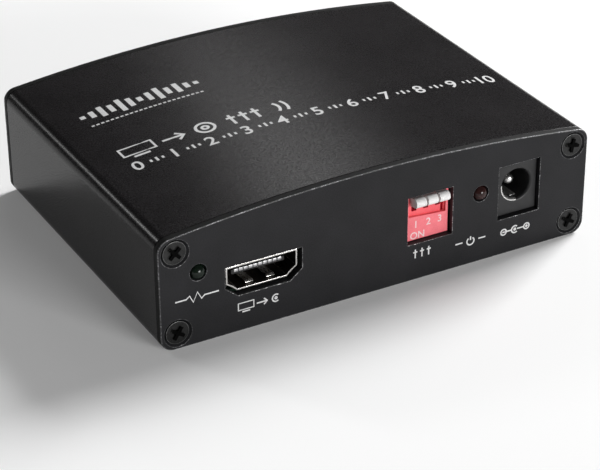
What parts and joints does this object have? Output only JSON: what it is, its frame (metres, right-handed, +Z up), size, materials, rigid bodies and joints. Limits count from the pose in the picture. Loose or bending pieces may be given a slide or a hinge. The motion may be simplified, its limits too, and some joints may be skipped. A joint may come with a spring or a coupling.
{
  "type": "digital audio extractor",
  "caption": "Small black metal box with an arched roof that splits sound from digital video, with video, phono, headphone, optical and power sockets and a setting switch.",
  "frame": {"origin": "middle of the case's flat base, on the surface that the case stands on", "axes": "+X across the case, +Y from the front plate with the setting switch to the rear plate with the phono and optical sockets, +Z up"},
  "size_m": [0.0924, 0.0774, 0.0259],
  "materials": {
    "anodised_case": "black anodised, satin with a fine grain",
    "black_screw": "black oxide steel, satin",
    "circuit_board": "green solder mask, semi gloss",
    "socket_steel": "tinned sheet steel",
    "socket_plastic": "moulded black plastic",
    "tongue_plastic": "moulded black plastic, fine",
    "contact_gold": "gold plated spring brass",
    "switch_red": "moulded red plastic",
    "key_white": "moulded white plastic",
    "tinned_lead": "tinned metal",
    "lamp_green": "tinted clear dome, unlit",
    "lamp_red": "tinted clear dome, unlit",
    "socket_nickel": "bright nickel plate",
    "chip_plastic": "black moulded epoxy",
    "sink_aluminium": "black anodised",
    "can_metal": "bright drawn can",
    "crystal_steel": "bright steel can",
    "ferrite": "dark grey ferrite, matt"
  },
  "bodies": {
    "root": {"shell": "anodised_case", "front_plate": "anodised_case", "rear_plate": "anodised_case", "front_screws": "black_screw", "rear_screws": "black_screw", "main_board": "circuit_board", "video_in_shell": "socket_steel", "video_in_tongue": "tongue_plastic", "video_in_contacts": "contact_gold", "video_out_shell": "socket_steel", "video_out_tongue": "tongue_plastic", "video_out_contacts": "contact_gold", "dip_body": "switch_red", "dip_pivot_pin": "tinned_lead", "dip_legs": "tinned_lead", "status_lamp": "lamp_green", "power_lamp": "lamp_red", "lamp_leads": "tinned_lead", "power_jack_body": "socket_plastic", "power_jack_pin": "socket_nickel", "power_jack_spring": "socket_nickel", "phono_block": "socket_plastic", "phono_barrel": "socket_nickel", "phono_insulator": "socket_plastic", "phono_contact": "contact_gold", "headphone_jack_body": "socket_plastic", "headphone_jack_contacts": "contact_gold", "optical_housing": "socket_plastic", "optical_hinge_pin": "tinned_lead", "optical_spring": "tinned_lead", "optical_emitter": "chip_plastic", "optical_legs": "tinned_lead", "main_chip": "chip_plastic", "main_chip_leads": "tinned_lead", "heat_sink": "sink_aluminium", "audio_chip": "chip_plastic", "audio_chip_leads": "tinned_lead", "memory_chip": "chip_plastic", "memory_chip_leads": "tinned_lead", "crystal": "crystal_steel", "filter_capacitors": "can_metal", "power_inductor": "ferrite", "voltage_regulator": "chip_plastic", "chip_resistors": "chip_plastic"},
    "dip_key_1": {"dip_key_1": "key_white"},
    "dip_key_2": {"dip_key_2": "key_white"},
    "dip_key_3": {"dip_key_3": "key_white"},
    "optical_shutter": {"optical_shutter": "socket_plastic"}
  },
  "joints": [
    {"name": "dip_key_1_tilt", "type": "hinge", "parent": "root", "child": "dip_key_1", "pos_m": [0.008, -0.03065, 0.01575], "axis": [1, 0, 0], "range_deg": [0, 20]},
    {"name": "dip_key_2_tilt", "type": "hinge", "parent": "root", "child": "dip_key_2", "pos_m": [0.0106, -0.03065, 0.01575], "axis": [1, 0, 0], "range_deg": [0, 20]},
    {"name": "dip_key_3_tilt", "type": "hinge", "parent": "root", "child": "dip_key_3", "pos_m": [0.0132, -0.03065, 0.01575], "axis": [1, 0, 0], "range_deg": [0, 20]},
    {"name": "optical_shutter_swing", "type": "hinge", "parent": "root", "child": "optical_shutter", "pos_m": [-0.0291, 0.03405, 0.0172], "axis": [-1, 0, 0], "range_deg": [0, 75], "stiffness_Nm_per_rad": 0.00002, "springref_deg": -17.19}
  ]
}
